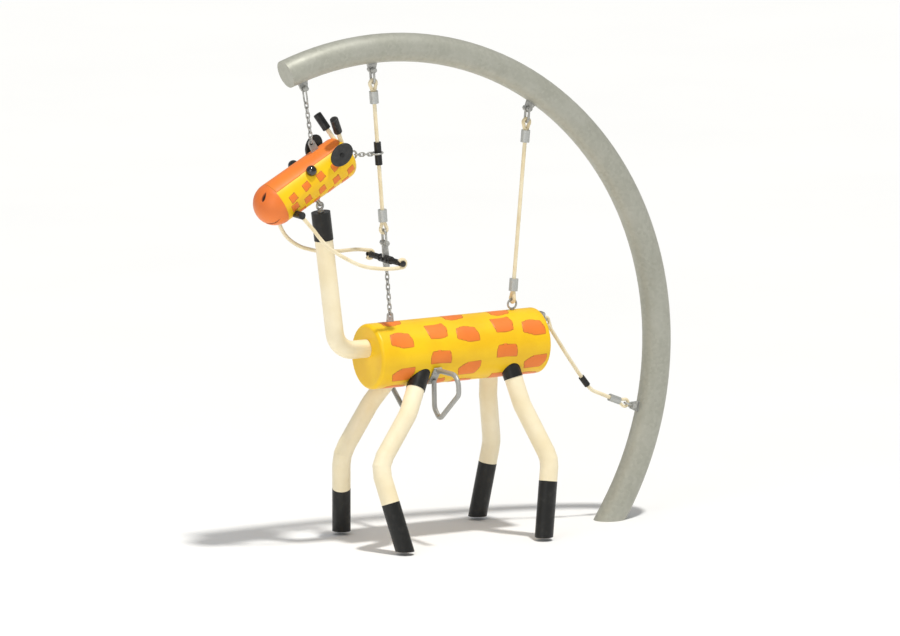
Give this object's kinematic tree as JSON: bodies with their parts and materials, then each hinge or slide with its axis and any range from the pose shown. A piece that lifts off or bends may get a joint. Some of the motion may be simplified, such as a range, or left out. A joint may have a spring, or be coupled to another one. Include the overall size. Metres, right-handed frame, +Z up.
{
  "type": "hanging playground rider",
  "caption": "Giraffe-shaped rocking seat hung on ropes and chains from an arched steel post, with stirrups, reins, handle bar and a rope tail.",
  "frame": {"origin": "centre of the post's foot on the ground", "axes": "+Z up, the giraffe faces -X, its left side is -Y"},
  "size_m": [1.8957, 0.612, 2.052],
  "materials": {
    "galvanised": "hot-dip galvanised tube, mottled spangle",
    "zinc_hardware": "zinc-plated shackles, lugs, chain and pins",
    "ferrule": "pressed aluminium ferrules",
    "cream_rope": "braided polyester rope over a steel core, cream",
    "yellow_shell": "yellow moulded plastic",
    "orange_plastic": "orange moulded plastic",
    "cream_limb": "cream plastic-coated steel tube",
    "black_rubber": "black rubber",
    "black_plastic": "black moulded plastic",
    "stirrup_steel": "stainless steel rod, satin",
    "inner_steel": "primed steel frame"
  },
  "bodies": {
    "post": {"arch_post": "galvanised", "arch_end_cap": "galvanised", "foot_plate": "galvanised", "hanging_lugs": "zinc_hardware", "tail_lug": "zinc_hardware"},
    "hanger_pins": {"hanger_pins": "zinc_hardware"},
    "front_hanger": {"front_top_shackle": "zinc_hardware", "front_rope": "cream_rope", "front_ferrules": "ferrule", "rope_sleeve": "black_rubber", "sleeve_ring": "zinc_hardware", "lower_shackle": "zinc_hardware", "handle_core": "black_plastic", "handle_grips": "black_rubber", "front_chain": "zinc_hardware"},
    "rear_hanger": {"rear_top_shackle": "zinc_hardware", "rear_rope": "cream_rope", "rear_ferrules": "ferrule"},
    "giraffe": {"body_shell": "yellow_shell", "body_front_cap": "yellow_shell", "body_rear_cap": "yellow_shell", "body_frame": "inner_steel", "front_left_leg": "cream_limb", "front_right_leg": "cream_limb", "rear_left_leg": "cream_limb", "rear_right_leg": "cream_limb", "front_boots": "black_rubber", "rear_boots": "black_rubber", "hip_collars": "black_rubber", "neck_tube": "cream_limb", "neck_sleeve": "black_rubber", "neck_eye": "zinc_hardware", "left_stirrup": "stirrup_steel", "right_stirrup": "stirrup_steel", "body_front_lug": "zinc_hardware", "body_rear_eye": "zinc_hardware", "tail_socket": "zinc_hardware", "reins": "cream_rope"},
    "head": {"head_shell": "yellow_shell", "muzzle": "orange_plastic", "head_rear_cap": "yellow_shell", "eyes": "black_plastic", "ears": "black_plastic", "ear_bolts": "black_plastic", "horn_stalks": "cream_limb", "horn_tips": "black_plastic", "rein_bosses": "black_plastic", "head_lug": "zinc_hardware", "head_eye_bolts": "zinc_hardware"},
    "head_chain_pin": {"head_chain_pin": "zinc_hardware"},
    "head_chain": {"head_chain": "zinc_hardware"},
    "tether": {"tether_chain": "zinc_hardware"},
    "tail_swivel": {"tail_top_pin": "zinc_hardware"},
    "tail_upper": {"tail_top_shackle": "zinc_hardware", "tail_rope_upper": "cream_rope", "tail_sleeve": "black_rubber"},
    "tail_turn": {"tail_post_pin": "zinc_hardware"},
    "tail_lower": {"tail_shackle": "zinc_hardware", "tail_rope_lower": "cream_rope", "tail_ferrule": "ferrule"}
  },
  "joints": [
    {"name": "sway", "type": "hinge", "parent": "post", "child": "hanger_pins", "pos_m": [-1.09385, 0, 1.91064], "axis": [0.9578, 0, -0.2873], "range_deg": [-4, 4], "deforming": ["reins", "tether_chain", "tail_rope_lower", "tail_rope_upper"]},
    {"name": "swing", "type": "hinge", "parent": "hanger_pins", "child": "front_hanger", "pos_m": [-1.09385, 0, 1.91064], "axis": [0, 1, 0], "range_deg": [-2, 1.2], "deforming": ["reins", "tether_chain", "tail_rope_lower", "tail_rope_upper"]},
    {"name": "body_pitch", "type": "hinge", "parent": "front_hanger", "child": "giraffe", "pos_m": [-1.012, 0, 0.918], "axis": [0, 1, 0], "range_deg": [-1.59, 2.64]},
    {"name": "rear_swing", "type": "hinge", "parent": "hanger_pins", "child": "rear_hanger", "pos_m": [-0.38146, 0, 1.69692], "axis": [0, 1, 0], "range_deg": [-2.54, 1.53]},
    {"name": "head_nod", "type": "hinge", "parent": "giraffe", "child": "head", "pos_m": [-1.33143, 0, 1.38678], "axis": [0, 1, 0], "range_deg": [-8.02, 4.82], "deforming": ["reins", "tether_chain"]},
    {"name": "head_chain_sway", "type": "hinge", "parent": "post", "child": "head_chain_pin", "pos_m": [-1.40256, 0, 1.8623], "axis": [1, 0, 0], "range_deg": [-6.02, 6.02]},
    {"name": "head_chain_swing", "type": "hinge", "parent": "head_chain_pin", "child": "head_chain", "pos_m": [-1.40256, 0, 1.8623], "axis": [0, 1, 0], "range_deg": [-1.72, 1.04]},
    {"name": "tether_swing", "type": "hinge", "parent": "front_hanger", "child": "tether", "pos_m": [-1.09575, 0, 1.57234], "axis": [0, 1, 0], "range_deg": [-11.42, 19.02], "deforming": ["tether_chain"]},
    {"name": "tail_swivel_turn", "type": "hinge", "parent": "giraffe", "child": "tail_swivel", "pos_m": [-0.318, 0, 0.862], "axis": [1, 0, 0], "range_deg": [-8.42, 8.42]},
    {"name": "tail_upper_swing", "type": "hinge", "parent": "tail_swivel", "child": "tail_upper", "pos_m": [-0.318, 0, 0.862], "axis": [0, 1, 0], "range_deg": [-4.7, 7.82]},
    {"name": "tail_post_turn", "type": "hinge", "parent": "post", "child": "tail_turn", "pos_m": [0.10357, 0, 0.45288], "axis": [0, 0, 1], "range_deg": [-7.34, 7.34]},
    {"name": "tail_lower_swing", "type": "hinge", "parent": "tail_turn", "child": "tail_lower", "pos_m": [0.10357, 0, 0.45288], "axis": [0, 1, 0], "range_deg": [-10.82, 6.5]}
  ],
  "couplings": [
    {"joint": "body_pitch", "follows": "swing", "ratio": -1.311},
    {"joint": "rear_swing", "follows": "swing", "ratio": 1.262},
    {"joint": "head_nod", "follows": "swing", "ratio": 4},
    {"joint": "head_chain_sway", "follows": "sway", "ratio": 1.5},
    {"joint": "head_chain_swing", "follows": "swing", "ratio": 0.85},
    {"joint": "tether_swing", "follows": "swing", "ratio": -9.5},
    {"joint": "tail_swivel_turn", "follows": "sway", "ratio": -2.1},
    {"joint": "tail_upper_swing", "follows": "swing", "ratio": -3.9},
    {"joint": "tail_post_turn", "follows": "sway", "ratio": -1.83},
    {"joint": "tail_lower_swing", "follows": "swing", "ratio": 5.4}
  ]
}
